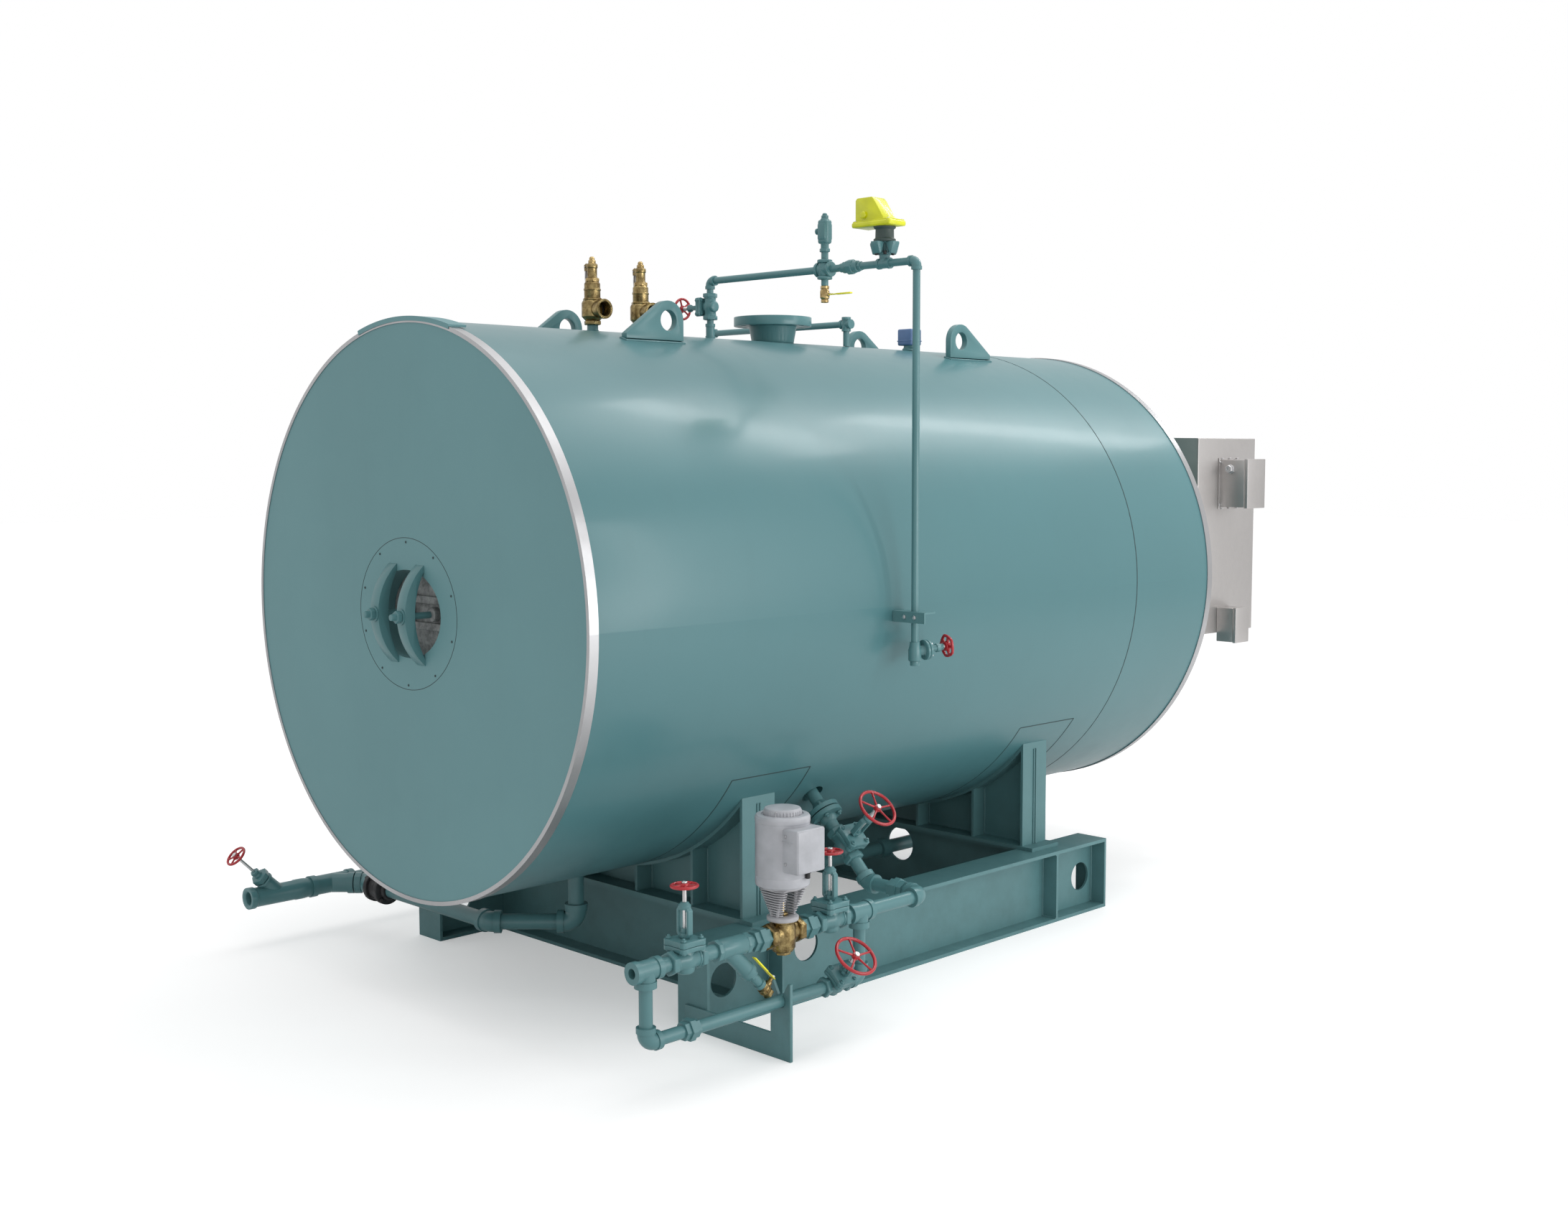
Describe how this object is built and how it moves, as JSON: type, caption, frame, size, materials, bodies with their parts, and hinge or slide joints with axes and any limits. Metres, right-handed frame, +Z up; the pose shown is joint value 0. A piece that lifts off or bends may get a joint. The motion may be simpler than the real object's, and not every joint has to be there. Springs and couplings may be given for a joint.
{
  "type": "industrial boiler",
  "caption": "Horizontal cylindrical boiler vessel on saddles and a steel skid, with safety valves, steam nozzle, feed valve train, blowdown line and rear control cabinet.",
  "frame": {"origin": "centre of the base, on the floor under the middle of the whole plant", "axes": "+Z up, +Y from the manway plate to the control cabinet, +X towards the feed valve train"},
  "size_m": [2.6424, 4.378, 2.8728],
  "materials": {
    "actuator_white": "white gloss moulding",
    "bronze": "cast bronze",
    "cabinet_paint": "satin dark teal paint",
    "cabinet_steel": "brushed stainless steel sheet",
    "check_black": "black coated cast iron",
    "cover_yellow": "gloss yellow enamel",
    "frame_paint": "satin dark teal paint",
    "jacket_paint": "satin teal paint",
    "lever_grey": "zinc plated steel",
    "lever_yellow": "yellow dipped vinyl",
    "manway_steel": "grey primed steel",
    "pipe_paint": "satin teal paint over threaded pipe",
    "switch_blue": "satin blue enamel",
    "trim_steel": "brushed stainless steel",
    "wheel_red": "gloss red enamel",
    "yoke_grey": "cast aluminium"
  },
  "bodies": {
    "boiler": {"vessel_shell": "jacket_paint", "front_plate": "jacket_paint", "rear_plate": "jacket_paint", "trim_rings": "trim_steel", "manway_frame": "manway_steel", "manway_cover": "manway_steel", "manway_yokes": "manway_steel", "lifting_lugs": "jacket_paint", "steam_nozzle": "jacket_paint", "front_safety_valve": "bronze", "rear_safety_valve": "bronze", "left_skid_beam": "frame_paint", "right_skid_beam": "frame_paint", "cross_beams": "frame_paint", "front_saddle_support": "frame_paint", "rear_saddle_support": "frame_paint", "pipe_brackets": "frame_paint", "cabinet_neck": "cabinet_paint", "control_cabinet": "cabinet_steel", "junction_boxes": "cabinet_steel", "top_gate_valve": "pipe_paint", "top_line": "pipe_paint", "air_vent": "pipe_paint", "test_cock": "bronze", "level_control": "pipe_paint", "level_control_cover": "cover_yellow", "riser_pipe": "pipe_paint", "riser_bracket": "frame_paint", "drain_valve": "pipe_paint", "level_line": "pipe_paint", "limit_switch": "switch_blue", "inlet_gate_valve": "pipe_paint", "outlet_gate_valve": "pipe_paint", "bypass_valve_body": "pipe_paint", "feed_run": "pipe_paint", "bypass_run": "pipe_paint", "strainer": "pipe_paint", "strainer_cock": "bronze", "control_valve": "bronze", "control_yoke": "yoke_grey", "control_actuator": "actuator_white", "feed_line": "pipe_paint", "feed_stop_valve": "pipe_paint", "blowdown_line": "pipe_paint", "blowdown_check": "check_black", "blowdown_valve": "pipe_paint"},
    "top_gate_wheel": {"top_gate_wheel": "wheel_red"},
    "inlet_wheel": {"inlet_wheel": "wheel_red"},
    "outlet_wheel": {"outlet_wheel": "wheel_red"},
    "bypass_wheel": {"bypass_wheel": "wheel_red"},
    "feed_stop_wheel": {"feed_stop_wheel": "wheel_red"},
    "blowdown_wheel": {"blowdown_wheel": "wheel_red"},
    "drain_wheel": {"drain_wheel": "wheel_red"},
    "test_cock_lever": {"test_cock_lever": "lever_yellow"},
    "strainer_cock_lever": {"strainer_cock_lever": "lever_yellow"},
    "front_safety_valve_lever": {"front_safety_valve_lever": "lever_grey"},
    "rear_safety_valve_lever": {"rear_safety_valve_lever": "lever_grey"}
  },
  "joints": [
    {"name": "top_gate_turn", "type": "hinge", "parent": "boiler", "child": "top_gate_wheel", "pos_m": [-0.24118, -0.661, 2.5363], "axis": [-1, 0, 0], "range_deg": [-1800, 0]},
    {"name": "inlet_turn", "type": "hinge", "parent": "boiler", "child": "inlet_wheel", "pos_m": [1.16382, -1.906, 0.648], "axis": [0, 0, 1], "range_deg": [-1800, 0]},
    {"name": "outlet_turn", "type": "hinge", "parent": "boiler", "child": "outlet_wheel", "pos_m": [1.16382, -1.266, 0.648], "axis": [0, 0, 1], "range_deg": [-1800, 0]},
    {"name": "bypass_turn", "type": "hinge", "parent": "boiler", "child": "bypass_wheel", "pos_m": [1.26024, -1.243, 0.30991], "axis": [0.6428, 0, 0.766], "range_deg": [-1800, 0]},
    {"name": "feed_stop_turn", "type": "hinge", "parent": "boiler", "child": "feed_stop_wheel", "pos_m": [0.95613, -0.805, 0.69589], "axis": [0.7071, 0, 0.7071], "range_deg": [-1800, 0]},
    {"name": "blowdown_turn", "type": "hinge", "parent": "boiler", "child": "blowdown_wheel", "pos_m": [-1.27618, -2.1086, 0.37561], "axis": [0, -0.7071, 0.7071], "range_deg": [-1800, 0]},
    {"name": "drain_turn", "type": "hinge", "parent": "boiler", "child": "drain_wheel", "pos_m": [1.04329, -0.52942, 1.26416], "axis": [0.286, 0.9535, 0.0953], "range_deg": [-720, 0]},
    {"name": "test_cock_turn", "type": "hinge", "parent": "boiler", "child": "test_cock_lever", "pos_m": [0.57982, -0.661, 2.54382], "axis": [1, 0, 0], "range_deg": [0, 90]},
    {"name": "strainer_cock_turn", "type": "hinge", "parent": "boiler", "child": "strainer_cock_lever", "pos_m": [1.16382, -1.53589, 0.28011], "axis": [0, 0.7071, 0.7071], "range_deg": [0, 90]},
    {"name": "front_safety_lift", "type": "hinge", "parent": "boiler", "child": "front_safety_valve_lever", "pos_m": [-0.10618, -1.251, 2.6493], "axis": [0, 1, 0], "range_deg": [0, 30]},
    {"name": "rear_safety_lift", "type": "hinge", "parent": "boiler", "child": "rear_safety_valve_lever", "pos_m": [-0.10618, -1.018, 2.6493], "axis": [0, 1, 0], "range_deg": [0, 30]}
  ]
}
